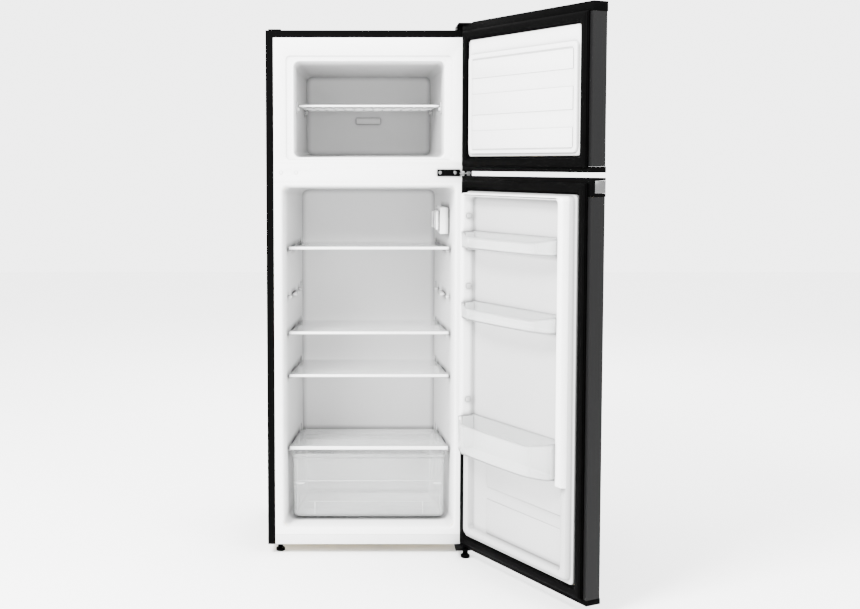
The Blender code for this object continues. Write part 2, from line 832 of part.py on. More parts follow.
def build_fridge_door(group):
    door = Group("fridge_door_hinge", (HINGE_X, HINGE_Y, 0), group, radians(OPEN_DEG))
    low, high = build_door(door, "fridge_door", FRIDGE_DOOR_Z, upper_trim=GRIP_HEIGHT)
    top = bpy.data.objects["fridge_door_top_cap"]
    grip_z = FRIDGE_DOOR_Z[1] - 0.036
    grip_top_z = FRIDGE_DOOR_Z[1] - 0.006
    grip = block(
        door,
        "grip_hollow",
        (-WIDTH, DOOR_FRONT_Y - 0.01, grip_z),
        (0.238, DOOR_FRONT_Y + GRIP_DEPTH, grip_top_z),
    )
    cut(top, grip)
    trim = block(
        door,
        "grip_trim",
        (-WIDTH / 2 + GAP, DOOR_FRONT_Y + 0.0020, grip_z + 0.0005),
        (0.2370, DOOR_FRONT_Y + GRIP_DEPTH - 0.0005, grip_top_z - 0.0005),
        silver,
    )
    finger = block(
        door,
        "finger_room",
        (-0.2600, DOOR_FRONT_Y - 0.02, grip_z + 0.0055),
        (0.2345, DOOR_FRONT_Y + GRIP_DEPTH - 0.0060, grip_top_z - 0.0025),
    )
    cut(trim, finger)
    liner = block(
        door,
        "fridge_door_liner",
        (-LINER_HALF, DOOR_BACK_Y + GAP, low),
        (LINER_HALF, LINER_FACE_Y, high),
        white_liner,
        round_by=0.012,
    )
    ridge = block(
        door,
        "door_ridge",
        (-RIDGE_HALF, -0.004, 0.300),
        (RIDGE_HALF, RIDGE_Y, 0.988),
        rear=(-RIDGE_HALF + 0.006, 0.312, RIDGE_HALF - 0.006, 0.983),
        round_by=0.010,
    )
    low_panel = block(
        door,
        "low_panel",
        (-RIDGE_HALF, -0.004, 0.082),
        (RIDGE_HALF, 0.012, 0.310),
        rear=(-RIDGE_HALF + 0.004, 0.088, RIDGE_HALF - 0.004, 0.310),
        round_by=0.010,
    )
    inner = RIDGE_HALF - RIDGE_WIDE
    recess = block(door, "door_recess", (-inner, -0.0035, 0.100), (inner, 0.1, 0.976))
    band = block(door, "low_band", (-inner, -0.0050, 0.1945), (0.130, 0.1, 0.2260))
    join(liner, ridge, low_panel)
    cut(liner, recess, band)
    for i, z in enumerate(SMALL_BINS_Z):
        build_bin(door, f"door_bin_{i + 1}", z, 0.042, 0.064)
    build_bin(door, "bottle_bin", BOTTLE_BIN_Z, 0.090, 0.076)


def build_bin(door, name, z, height, reach):
    """A clear bin with a bowed front, open at the top, hung between the door's ridges."""
    home = Group(f"{name}_lift", (0, 0, z), door)
    home.empty.location = Vector((0, 0, z)) - Vector((HINGE_X, HINGE_Y, 0))
    back = -0.0028
    wall = 0.0024
    full = bin_block(home, name, (z, z + height), back, reach, BIN_HALF, clear_plastic)
    room = (z + wall, z + height + 0.05)
    hollow = bin_block(home, f"{name}_hollow", room, back + wall, reach - wall, BIN_HALF - wall)
    cut(full, hollow)


def bin_block(home, name, z_range, back, reach, half, look=None):
    """A straight-backed block whose front corners are cut off at a slant."""
    low, high = z_range
    bm = bmesh.new()
    outline = [
        (-half, back),
        (-half, reach * 0.62),
        (-half + 0.055, reach),
        (half - 0.055, reach),
        (half, reach * 0.62),
        (half, back),
    ]
    face = bm.faces.new([bm.verts.new((x, y, low)) for x, y in outline])
    grown = bmesh.ops.extrude_face_region(bm, geom=[face])
    raised = [v for v in grown["geom"] if isinstance(v, bmesh.types.BMVert)]
    bmesh.ops.translate(bm, verts=raised, vec=(0, 0, high - low))
    return add(bm, home, name, look)


def centre_on_floor(root):
    """Moves the root so that the middle of the whole object's footprint is at x = y = 0."""
    bpy.context.view_layer.update()
    graph = bpy.context.evaluated_depsgraph_get()
    low, high = Vector((9, 9, 9)), Vector((-9, -9, -9))
    for obj in parts.objects:
        if obj.type == "EMPTY":
            continue
        seen = obj.evaluated_get(graph)
        for vert in seen.to_mesh().vertices:
            point = seen.matrix_world @ vert.co
            low = Vector(map(min, low, point))
            high = Vector(map(max, high, point))
        seen.to_mesh_clear()
    root.empty.location = (-(low.x + high.x) / 2, -(low.y + high.y) / 2, 0)
    bpy.context.view_layer.update()


clear_scene()
black_steel = finish("black_steel", (0.012, 0.012, 0.013), 0.35, 0.1)
grey_steel = finish("grey_steel", (0.35, 0.35, 0.36), 0.5, 0.8)
bare_steel = finish("bare_steel", (0.62, 0.62, 0.63), 0.3, 1.0)
grey_paint = finish("grey_paint", (0.78, 0.78, 0.79), 0.4)
silver = finish("silver", (0.72, 0.72, 0.73), 0.25, 0.9)
copper = finish("copper", (0.72, 0.38, 0.24), 0.35, 1.0)
white_liner = finish("white_liner", (0.88, 0.88, 0.88), 0.35)
white_wire = finish("white_wire", (0.9, 0.9, 0.9), 0.3)
black_plastic = finish("black_plastic", (0.010, 0.010, 0.010), 0.45)
rubber = finish("rubber", (0.015, 0.015, 0.016), 0.7)
foam_look = finish("foam", (0.85, 0.78, 0.55), 0.9)
clear_glass = finish("clear_glass", (0.85, 0.93, 0.90), 0.05)
clear_plastic = finish("clear_plastic", (0.90, 0.92, 0.92), 0.12)

root = Group("refrigerator")
build_shell(root)
build_liners(root)
build_insulation(root)
build_front_trim(root)
build_hinges(root)
build_feet(root)
build_machine_bay(root)
build_shelves(root)
build_drawer(root)
build_wire_shelf(root)
build_lamp(root)
build_freezer_door(root)
build_fridge_door(root)
centre_on_floor(root)
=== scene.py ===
"""A top freezer refrigerator with its doors open: mouldings, shelves, bins, hinges and finishes."""

import json
from math import cos, pi, radians, sin, tan

import bmesh
import bpy
from mathutils import Matrix, Vector


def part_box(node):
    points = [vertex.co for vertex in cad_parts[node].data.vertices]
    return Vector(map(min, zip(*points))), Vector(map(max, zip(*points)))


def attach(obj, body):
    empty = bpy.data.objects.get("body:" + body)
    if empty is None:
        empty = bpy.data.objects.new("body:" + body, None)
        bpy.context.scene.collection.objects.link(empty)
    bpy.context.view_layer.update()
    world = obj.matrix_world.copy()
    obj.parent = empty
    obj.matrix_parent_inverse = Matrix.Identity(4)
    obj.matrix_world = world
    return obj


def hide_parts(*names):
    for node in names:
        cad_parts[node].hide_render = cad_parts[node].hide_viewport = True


bl_info = {
    "name": "Top freezer refrigerator",
    "version": (1, 0, 0),
    "blender": (4, 5, 0),
    "location": "View3D > Sidebar > Refrigerator",
    "description": "Builds the visible pieces of a top freezer refrigerator round its frame",
    "category": "Object",
}

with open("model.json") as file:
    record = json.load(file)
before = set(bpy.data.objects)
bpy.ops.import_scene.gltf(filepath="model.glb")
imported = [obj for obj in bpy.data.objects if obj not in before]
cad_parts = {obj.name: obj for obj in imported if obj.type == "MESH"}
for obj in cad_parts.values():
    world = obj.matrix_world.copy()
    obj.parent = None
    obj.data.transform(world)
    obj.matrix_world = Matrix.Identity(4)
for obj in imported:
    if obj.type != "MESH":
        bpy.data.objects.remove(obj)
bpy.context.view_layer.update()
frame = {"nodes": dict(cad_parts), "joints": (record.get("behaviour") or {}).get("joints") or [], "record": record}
JOINTS = {joint["name"]: joint for joint in frame["joints"]}


# Places -------------------------------------------------------------------------------------------

CABINET_LOW, CABINET_HIGH = (Vector(corner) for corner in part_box("cabinet_shell"))
MIDDLE_X = (CABINET_LOW.x + CABINET_HIGH.x) / 2
FRONT_Y = CABINET_LOW.y
SHIFT = Matrix.Translation((MIDDLE_X, FRONT_Y, 0.0))
HINGE = Vector(JOINTS["fridge_door_hinge"]["pos_m"]) - Vector((MIDDLE_X, FRONT_Y, 0.0))
HINGE.z = 0.0
OPEN_ANGLE = -radians(JOINTS["fridge_door_hinge"]["range_deg"][0])
DOOR_PLACE = (
    SHIFT
    @ Matrix.Translation(HINGE)
    @ Matrix.Rotation(OPEN_ANGLE, 4, "Z")
    @ Matrix.Translation(-HINGE)
)


BINS = ("door_bin_1", "door_bin_2", "bottle_bin")
DOOR_BODIES = {"freezer_door", "fridge_door", "upper_bin", "middle_bin", "bottle_bin"}


def closed_box(node, place=DOOR_PLACE):
    """A node's box in the shut refrigerator's own measures: cabinet middle x = 0, cabinet front y = 0."""
    back = place.inverted()
    points = [back @ vert.co for vert in frame["nodes"][node].data.vertices]
    low = Vector(min(point[i] for point in points) for i in range(3))
    high = Vector(max(point[i] for point in points) for i in range(3))
    return low, high


# Height of the shelf rests that hold no shelf
SPARE_LEVEL = 0.700

# Studio: light name, place, target, size across and power, all from the floor's middle
LIGHTS = (
    ("key light", (-1.7, -2.2, 3.3), (0.0, 0.0, 0.8), 1.3, 620),
    ("fill light", (2.6, -2.6, 2.6), (0.3, 0.0, 0.8), 1.6, 120),
    ("back light", (0.4, 3.0, 3.0), (0.0, 0.3, 0.8), 1.8, 160),
)
WORLD_STRENGTH = 4.6
FLOOR_SIZE = 9.0
CAMERA_PLACE = Vector((-0.0176, -3.42, 1.065))
CAMERA_LENS = 53.5
SENSOR_WIDTH = 36.0
CAMERA_TILT = radians(4.2)
SIDE_SHIFT = 0.0785
LEVEL_SHIFT = 0.1651


# Finishes -----------------------------------------------------------------------------------------


class Value:
    """A shader socket that can be used in arithmetic. Each operation adds its Math node."""

    def __init__(self, look, socket):
        self.look = look
        self.socket = socket

    def _math(self, operation, first, second):
        return self.look.node("ShaderNodeMath", {"operation": operation}, {0: first, 1: second})

    def __add__(self, other):
        return self._math("ADD", self, other)

    def __sub__(self, other):
        return self._math("SUBTRACT", self, other)

    def __rsub__(self, other):
        return self._math("SUBTRACT", other, self)

    def __mul__(self, other):
        return self._math("MULTIPLY", self, other)

    def __pow__(self, other):
        return self._math("POWER", self, other)

    __radd__ = __add__
    __rmul__ = __mul__


class Look:
    """One material and the few things that every finish here is made of."""

    def __init__(self, name, **constants):
        self.material = bpy.data.materials.new(name)
        self.material.use_nodes = True
        self.tree = self.material.node_tree
        self.shader = self.tree.nodes["Principled BSDF"]
        for socket, value in constants.items():
            self.shader.inputs[socket.replace("_", " ")].default_value = value

    def node(self, kind, settings=None, sockets=None, output=0):
        made = self.tree.nodes.new(kind)
        for name, value in (settings or {}).items():
            setattr(made, name, value)
        for name, value in (sockets or {}).items():
            if isinstance(value, Value):
                self.tree.links.new(value.socket, made.inputs[name])
            else:
                made.inputs[name].default_value = value
        return Value(self, made.outputs[output])

    def set(self, socket, value):
        self.tree.links.new(value.socket, self.shader.inputs[socket])

    def place(self, stretch=(1, 1, 1)):
        where = self.node("ShaderNodeTexCoord", output=3)
        return self.node("ShaderNodeMapping", {}, {"Vector": where, "Scale": stretch})

    def noise(self, scale, detail=2.0, stretch=(1, 1, 1), rough=0.5):
        return self.node(
            "ShaderNodeTexNoise",
            {},
            {"Vector": self.place(stretch), "Scale": scale, "Detail": detail, "Roughness": rough},
        )

    def tint(self, dark, light, factor):
        return self.node(
            "ShaderNodeMix",
            {"data_type": "RGBA"},
            {"Factor": factor, 6: (*dark, 1.0), 7: (*light, 1.0)},
            output=2,
        )

    def painted_crease_shade(self, colour, reach=0.016, depth=0.95):
        """Paints shade into a colour where the surface runs into a groove or a corner: an ambient occlusion node
        darkens it there.
        """
        near = self.node("ShaderNodeAmbientOcclusion", {"samples": 8}, {"Distance": reach}, output=1)
        crease_shade_amount = near ** 2.0
        return self.node(
            "ShaderNodeMix",
            {"data_type": "RGBA", "blend_type": "MULTIPLY"},
            {"Factor": depth, 6: colour, 7: crease_shade_amount},
            output=2,
        )

    def bump(self, height, strength, distance=0.0004):
        normal = self.node(
            "ShaderNodeBump", {}, {"Height": height, "Strength": strength, "Distance": distance}
        )
        self.set("Normal", normal)


def painted_steel(name, dark, light, roughness, gloss):
    look = Look(name, Metallic=0.0, Specular_IOR_Level=gloss)
    cloud = look.noise(5.0, 3.0)
    peel = look.noise(900.0, 2.0)
    look.set("Base Color", look.tint(dark, light, cloud))
    look.set("Roughness", roughness + 0.08 * (look.noise(60.0, 3.0) - 0.5))
    look.bump(peel, 0.05, 0.0001)
    return look.material


def moulded_white(name, dark, light, roughness=0.32):
    look = Look(name)
    # Painted shade: the white is darkened in its grooves and corners
    look.set("Base Color", look.painted_crease_shade(look.tint(dark, light, look.noise(3.5, 4.0))))
    look.set("Roughness", roughness + 0.10 * (look.noise(24.0, 3.0) - 0.5))
    look.bump(look.noise(420.0, 2.0), 0.07, 0.0003)
    return look.material


def depth_shaded_white(name, white, inner):
    """Painted shade: white at the cabinet's front edge and greyer further in, where less light reaches, with
    painted shade in the creases and the same grain as the liner.
    """
    look = Look(name)
    depth = look.node(
        "ShaderNodeSeparateXYZ", {}, {"Vector": look.node("ShaderNodeTexCoord", output=3)}, output=1
    )
    reach = look.node(
        "ShaderNodeMapRange",
        {"interpolation_type": "SMOOTHSTEP"},
        {"Value": depth, "From Min": FRONT_Y + 0.004, "From Max": FRONT_Y + 0.110},
    )
    cloud = 0.03 * (look.noise(3.5, 4.0) - 0.5)
    # Painted shade: greyer with depth into the cabinet, and darker in the creases
    look.set("Base Color", look.painted_crease_shade(look.tint(white, [inner * part for part in white], reach + cloud)))
    look.set("Roughness", 0.32 + 0.10 * (look.noise(24.0, 3.0) - 0.5))
    look.bump(look.noise(420.0, 2.0), 0.07, 0.0003)
    return look.material


def grained_plastic(name, dark, light, roughness=0.5):
    look = Look(name, Specular_IOR_Level=0.010)
    grain = look.node("ShaderNodeTexVoronoi", {}, {"Vector": look.place(), "Scale": 1500.0})
    look.set("Base Color", look.tint(dark, light, look.noise(40.0, 3.0)))
    look.set("Roughness", roughness + 0.12 * (look.noise(120.0, 2.0) - 0.5))
    look.bump(grain, 0.25, 0.0002)
    return look.material


def soft_rubber(name):
    look = Look(name, Specular_IOR_Level=0.008)
    ribs = look.noise(260.0, 2.0, (1.0, 1.0, 0.05))
    look.set("Base Color", look.tint((0.0002,) * 3, (0.0008,) * 3, look.noise(30.0)))
    look.set("Roughness", 0.48 + 0.16 * (look.noise(90.0) - 0.5))
    look.bump(ribs, 0.2, 0.0003)
    return look.material


def brushed_metal(name, dark, light, stretch, roughness=0.3):
    look = Look(name, Metallic=1.0)
    lines = look.noise(300.0, 3.0, stretch)
    look.set("Base Color", look.tint(dark, light, lines))
    look.set("Roughness", roughness + 0.18 * (lines - 0.5))
    look.bump(lines, 0.10, 0.0001)
    return look.material


def zinc_sheet(name):
    look = Look(name, Metallic=0.85)
    spangle = look.node("ShaderNodeTexVoronoi", {}, {"Vector": look.place(), "Scale": 70.0})
    look.set("Base Color", look.tint((0.30, 0.31, 0.32), (0.52, 0.53, 0.54), spangle))
    look.set("Roughness", 0.38 + 0.20 * spangle)
    look.bump(look.noise(200.0), 0.08, 0.0002)
    return look.material


def see_through(name, colour, thin, thick, roughness):
    """Clear plastic or glass: more solid where the surface is seen edge on."""
    look = Look(name, Roughness=roughness, IOR=1.49)
    facing = look.node("ShaderNodeLayerWeight", {}, {"Blend": 0.35}, output=1)
    cloud = look.noise(6.0, 2.0)
    look.set("Base Color", look.tint(colour, [0.42 * part for part in colour], facing ** 3.0))
    look.set("Alpha", thin + (thick - thin) * facing ** 1.6 + 0.03 * cloud)
    look.bump(look.noise(40.0, 1.0), 0.04, 0.0004)
    look.material.surface_render_method = "BLENDED"
    return look.material


def foamed(name):
    look = Look(name, Roughness=0.9)
    cells = look.node("ShaderNodeTexVoronoi", {}, {"Vector": look.place(), "Scale": 900.0})
    look.set("Base Color", look.tint((0.62, 0.50, 0.26), (0.80, 0.70, 0.44), look.noise(25.0, 4.0)))
    look.bump(cells, 0.5, 0.0005)
    return look.material


def make_finishes(tones):
    white = tuple(tones.liner)
    shade = tuple(part * 0.955 for part in white)
    black = tuple(tones.cabinet)
    skin = tuple(tones.door_skin)
    clear = tuple(tones.clear)
    return {
        "black_steel": painted_steel("black steel", black, [p * 1.5 for p in black], 0.45, 0.012),
        "door_steel": painted_steel("door steel", skin, [p * 1.12 for p in skin], 0.45, 0.07),
        "grey_steel": zinc_sheet("zinc coated steel"),
        "bare_steel": brushed_metal("bare steel", (0.08,) * 3, (0.24,) * 3, (1, 1, 14)),
        "grey_rail": painted_steel("grey rail", (0.62,) * 3, (0.67,) * 3, 0.4, 0.4),
        "silver_trim": brushed_metal("silver trim", (0.03,) * 3, (0.15,) * 3, (1, 1, 12), 0.30),
        "copper": brushed_metal("copper tube", (0.50, 0.22, 0.11), (0.74, 0.38, 0.22), (1, 1, 1)),
        "white_liner": moulded_white("white liner", shade, white),
        # Painted shade: the fridge and freezer insides grow greyer with depth, for the light that fades inside the
        # cabinet
        "fridge_inside": depth_shaded_white("fridge inside", white, 0.56),
        "freezer_inside": depth_shaded_white("freezer inside", white, 0.40),
        # Painted shade: door inside and door panel are shaded copies of the white liner for the doors' recessed
        # faces; the fridge door's ridge stays white
        "door_inside": moulded_white("door inside", [0.48 * p for p in shade], [0.51 * p for p in white]),
        "door_panel": moulded_white("door panel", [0.80 * p for p in shade], [0.83 * p for p in white]),
        "white_wire": moulded_white("white wire", shade, white, 0.25),
        "black_plastic": grained_plastic("black plastic", (0.0002,) * 3, (0.0007,) * 3),
        "gasket": soft_rubber("gasket rubber"),
        "foam": foamed("foam"),
        "clear_glass": see_through("shelf glass", [0.86 * p for p in clear], 0.12, 0.50, 0.06),
        "clear_plastic": see_through("clear moulding", [0.86 * p for p in clear], 0.11, 0.85, 0.10),
        "clear_edge": see_through("clear edge", [0.72 * p for p in clear], 0.45, 0.90, 0.10),
        "clear_rim": see_through("clear rim", [0.20 * p for p in clear], 0.60, 0.85, 0.10),
        # Painted shadow: the nearly black bars on the glass shelves' sides stand for the shadow in the gap between
        # each shelf and the wall
        "glass_edge_shadow": see_through("glass edge gap shadow", (0.03, 0.034, 0.034), 0.85, 0.98, 0.30),
        "frosted": moulded_white("lamp lens", (0.88, 0.88, 0.87), (0.95, 0.95, 0.94), 0.20),
    }


FINISHES = {}


# Making -------------------------------------------------------------------------------------------


def give(obj, finish):
    obj.data.materials.clear()
    obj.data.materials.append(FINISHES[finish])


def publish(bm, name, body, finish, replaced=(), place=None, smooth=40):
    """Puts a finished mesh in the scene, on its body, in place of its frame nodes."""
    bm.transform(place or (DOOR_PLACE if body in DOOR_BODIES else SHIFT))
    mesh = bpy.data.meshes.new(name)
    bm.to_mesh(mesh)
    bm.free()
    mesh.shade_smooth()
    mesh.set_sharp_from_angle(angle=radians(smooth))
    obj = bpy.data.objects.new(name, mesh)
    bpy.context.scene.collection.objects.link(obj)
    give(obj, finish)
    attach(obj, body)
    if replaced:
        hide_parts(*replaced)
    return obj


def outward(bm):
    bmesh.ops.remove_doubles(bm, verts=bm.verts, dist=1e-5)
    bmesh.ops.recalc_face_normals(bm, faces=bm.faces)


def bevel(bm, edges, width, segments=3):
    bmesh.ops.bevel(
        bm,
        geom=edges,
        offset=width,
        offset_type="OFFSET",
        affect="EDGES",
        segments=segments,
        profile=0.5,
        material=-1,
        clamp_overlap=True,
    )


def add_box(bm, low, high, width=0.0, segments=2):
    """Adds a box with rounded edges to the mesh."""
    made = bmesh.ops.create_cube(bm, size=1.0)["verts"]
    low, high = Vector(low), Vector(high)
    size, middle = high - low, (low + high) / 2
    bmesh.ops.scale(bm, verts=made, vec=size)
    bmesh.ops.translate(bm, verts=made, vec=middle)
    if width:
        bevel(bm, list({edge for vert in made for edge in vert.link_edges}), width, segments)


def add_pair(bm, inner, outer, low, high, width=0.0, segments=2):
    """Adds a box on each side of x = 0, between two distances from it. low and high are (y, z)."""
    for side in (-1, 1):
        near, far = sorted((side * inner, side * outer))
        add_box(bm, (near, *low), (far, *high), width, segments)


# A thin band round a clear part: how far it stands out, and how far below its top
HOOP = ((-0.0002, 0.0000), (-0.0002, 0.0034), (-0.0014, 0.0034), (-0.0014, 0.0000))


def add_bar(bm, start, end, radius, sides=10):
    """Adds a round bar to the mesh."""
    start, end = Vector(start), Vector(end)
    turn = (end - start).to_track_quat("Z", "Y").to_matrix().to_4x4()
    bmesh.ops.create_cone(
        bm,
        cap_ends=True,
        segments=sides,
        radius1=radius,
        radius2=radius,
        depth=(end - start).length,
        matrix=Matrix.Translation((start + end) / 2) @ turn,
    )


def turned(bm, profile, centre, axis, steps=32):
    """Adds a solid of revolution. The profile is (radius, distance along the axis) pairs."""
    turn = Vector(axis).to_track_quat("Z", "Y").to_matrix()
    verts = [bm.verts.new(Vector(centre) + turn @ Vector((r, 0, d))) for r, d in profile]
    edges = [bm.edges.new(pair) for pair in zip(verts, verts[1:])]
    bmesh.ops.spin(
        bm,
        geom=verts + edges,
        cent=centre,
        axis=turn @ Vector((0, 0, 1)),
        angle=2 * pi,
        steps=steps,
        use_merge=True,
    )


def softened(node, body, finish, width, segments=2, sharpest=30):
    """A node's own shape with its edges rounded."""
    bm = bmesh.new()
    bm.from_mesh(frame["nodes"][node].data)
    bmesh.ops.remove_doubles(bm, verts=bm.verts, dist=1e-5)
    bmesh.ops.dissolve_limit(bm, angle_limit=radians(1), verts=bm.verts, edges=bm.edges)
    edges = [e for e in bm.edges if e.is_manifold and e.calc_face_angle(0) > radians(sharpest)]
    bevel(bm, edges, width, segments)
    return publish(bm, f"{node}_finished", body, finish, [node], place=Matrix())


def rounded(y, half, low, high, radius, steps=6):
    """An upright rounded rectangle at depth y, as points going round it."""
    points = []
    for side, up, start in ((-1, -1, pi), (1, -1, 1.5 * pi), (1, 1, 0.0), (-1, 1, 0.5 * pi)):
        x = side * (half - radius)
        z = (high if up > 0 else low) - up * radius
        for step in range(steps + 1):
            turn = start + pi / 2 * step / steps
            points.append((x + radius * cos(turn), y, z + radius * sin(turn)))
    return points


def loft(bm, rings, ends=True):
    """Joins rings of points in a row, each with as many points as the next."""
    rows = [[bm.verts.new(point) for point in ring] for ring in rings]
    for first, second in zip(rows, rows[1:] if ends else rows[1:] + rows[:1]):
        for i, vert in enumerate(first):
            bm.faces.new((first[i - 1], vert, second[i], second[i - 1]))
    if ends:
        bm.faces.new(rows[0])
        bm.faces.new(rows[-1])
    bmesh.ops.recalc_face_normals(bm, faces=bm.faces)


def moulding(bm, sections, wall):
    """A thin closed wall whose front runs through (y, half width, low z, high z, radius) sections.

    The wall lies behind the front: towards +Y for a positive wall, and -Y for a negative one.
    """
    behind = []
    for i, (y, half, low, high, radius) in enumerate(sections):
        before, after = sections[max(i - 1, 0)], sections[min(i + 1, len(sections) - 1)]
        run = Vector((after[1] - before[1], after[0] - before[0])).normalized()
        out, back = run.y * wall, -run.x * wall
        if i == len(sections) - 1:
            back = wall
        behind.append((y + back, half + out, low - out, high + out, max(radius + out, 0.0004)))
    rows = behind[::-1] + list(sections)
    loft(bm, [rounded(*row) for row in rows])


# Sizes and colours --------------------------------------------------------------------------------


class RefrigeratorSizes(bpy.types.PropertyGroup):
    sheet: bpy.props.FloatProperty(
        name="Moulding wall", description="Thickness of a liner", default=0.0014, unit="LENGTH"
    )
    clear_wall: bpy.props.FloatProperty(
        name="Clear wall", description="Thickness of the drawer and bins", default=0.0022, unit="LENGTH"
    )
    wire: bpy.props.FloatProperty(
        name="Wire radius", description="Of the freezer shelf's bars", default=0.0015, unit="LENGTH"
    )
    wires: bpy.props.IntProperty(name="Wires", description="Bars in the freezer shelf", default=14)


class RefrigeratorTones(bpy.types.PropertyGroup):
    liner: bpy.props.FloatVectorProperty(
        name="Liner", description="White mouldings", subtype="COLOR", default=(0.83, 0.83, 0.83)
    )
    cabinet: bpy.props.FloatVectorProperty(
        name="Cabinet", description="Painted shell", subtype="COLOR", default=(0.0005, 0.0005, 0.0005)
    )
    door_skin: bpy.props.FloatVectorProperty(
        name="Door skin", description="Painted door", subtype="COLOR", default=(0.0030, 0.0030, 0.0031)
    )
    clear: bpy.props.FloatVectorProperty(
        name="Clear parts", description="Glass, drawer, bins", subtype="COLOR", default=(0.90, 0.915, 0.91)
    )


class Maker(bpy.types.Operator):
    """What every making step shares"""

    bl_options = {"REGISTER", "UNDO"}

    @property
    def sizes(self):
        return bpy.context.scene.refrigerator_sizes


class REFRIGERATOR_OT_finishes(Maker):
    """Makes the materials and puts one on every piece of the frame"""

    bl_idname = "refrigerator.finishes"
    bl_label = "Finishes"

    def execute(self, context):
        FINISHES.update(make_finishes(context.scene.refrigerator_tones))
        slots = {part["node"]: part["material_slot"] for part in frame["record"]["subparts"]}
        for name, node in frame["nodes"].items():
            finish = "door_steel" if name.endswith("door_skin") else slots[name]
            give(node, finish)
            node.data.set_sharp_from_angle(angle=radians(35))
        return {"FINISHED"}


class REFRIGERATOR_OT_freezer_liner(Maker):
    """The freezer's white moulding, with its step, hollow and the ledges for the wire shelf"""

    bl_idname = "refrigerator.freezer_liner"
    bl_label = "Freezer liner"

    def execute(self, context):
        low, high = closed_box("freezer_liner", SHIFT)
        face = low.y + 0.0002
        rear = high.y - 0.0030
        sections = [
            (face, high.x, low.z, high.z, 0.0008),
            (face, 0.2230, 1.0705, 1.3490, 0.0120),
            (face + 0.0008, 0.2218, 1.0714, 1.3478, 0.0112),
            (face + 0.0028, 0.2206, 1.0724, 1.3466, 0.0104),
            (face + 0.0038, 0.2190, 1.0732, 1.3452, 0.0100),
            (face + 0.0042, 0.2045, 1.0752, 1.3368, 0.0165),
            (face + 0.0050, 0.2022, 1.0768, 1.3347, 0.0160),
            (face + 0.0078, 0.2006, 1.0782, 1.3333, 0.0155),
            (face + 0.0130, 0.2000, 1.0788, 1.3326, 0.0150),
            (rear - 0.0040, 0.1828, 1.0864, 1.3168, 0.0160),
            (rear - 0.0010, 0.1812, 1.0880, 1.3152, 0.0150),
            (rear, 0.1780, 1.0910, 1.3120, 0.0130),
        ]
        bm = bmesh.new()
        moulding(bm, sections, self.sizes.sheet * 0.7)
        publish(bm, "freezer_moulding", "cabinet", "freezer_inside", ["freezer_liner"])

        bm = bmesh.new()
        top = closed_box("wire_shelf", SHIFT)[0].z - 0.0004
        for depth, long in ((0.062, 0.030), (0.300, 0.045)):
            half = 0.2003 - 0.0178 * depth / 0.385
            outer = half + 0.002
            ledge = (depth, top - 0.010), (depth + long, top)
            stop = (depth - 0.004, top - 0.016), (depth + 0.010, top + 0.014)
            add_pair(bm, half - 0.0085, outer, *ledge, 0.003, 3)
            add_pair(bm, half - 0.0035, outer, *stop, 0.0016)
        publish(bm, "wire_shelf_rests", "cabinet", "freezer_inside")

        bm = bmesh.new()
        back = high.y - 0.0035
        add_box(bm, (-0.036, back - 0.004, 1.178), (0.036, back + 0.001, 1.196), 0.0035, 3)
        publish(bm, "freezer_back_boss", "cabinet", "freezer_inside")
        return {"FINISHED"}


class REFRIGERATOR_OT_fridge_liner(Maker):
    """The fridge's white moulding, its machine hump and the ribs that the shelves slide on"""

    bl_idname = "refrigerator.fridge_liner"
    bl_label = "Fridge liner"

    def execute(self, context):
        low, high = closed_box("fridge_liner", SHIFT)
        face = low.y + 0.0002
        rear = high.y - 0.0030
        sections = [
            (face, high.x, low.z, high.z, 0.0008),
            (face, 0.2362, 0.0690, 1.0052, 0.0140),
            (face + 0.0006, 0.2352, 0.0700, 1.0040, 0.0138),
            (face + 0.0026, 0.2332, 0.0716, 1.0020, 0.0140),
            (face + 0.0060, 0.2312, 0.0734, 1.0002, 0.0148),
            (face + 0.0120, 0.2297, 0.0750, 0.9990, 0.0155),
            (rear - 0.0040, 0.1978, 0.0854, 0.9850, 0.0180),
            (rear - 0.0010, 0.1962, 0.0870, 0.9834, 0.0168),
            (rear, 0.1930, 0.0900, 0.9804, 0.0145),
        ]
        bm = bmesh.new()
        moulding(bm, sections, self.sizes.sheet * 0.7)
        publish(bm, "fridge_moulding", "cabinet", "fridge_inside", ["fridge_liner"])

        bm = bmesh.new()
        add_box(bm, (-0.1995, 0.331, 0.086), (0.1995, rear + 0.0005, 0.262), 0.010, 4)
        publish(bm, "machine_hump", "cabinet", "fridge_inside")

        bm = bmesh.new()
        levels = [closed_box(f"glass_shelf_{i}", SHIFT)[0].z for i in (1, 2, 3)]
        levels += [SPARE_LEVEL, closed_box("crisper_cover", SHIFT)[0].z]

        def wall(depth):
            return 0.2297 - 0.0328 * depth / 0.400

        for z in levels:
            for depth, long in ((0.078, 0.020), (0.150, 0.090), (0.292, 0.026)):
                half = wall(depth + long)
                ledge = (depth, z - 0.0075), (depth + long, z - 0.0006)
                add_pair(bm, half - 0.0095, half + 0.0035, *ledge, 0.0022)
            half = wall(0.345)
            add_pair(bm, half - 0.004, half + 0.003, (0.352, z - 0.006), (0.362, z + 0.014), 0.0018)
        publish(bm, "shelf_rests", "cabinet", "fridge_inside")
        return {"FINISHED"}


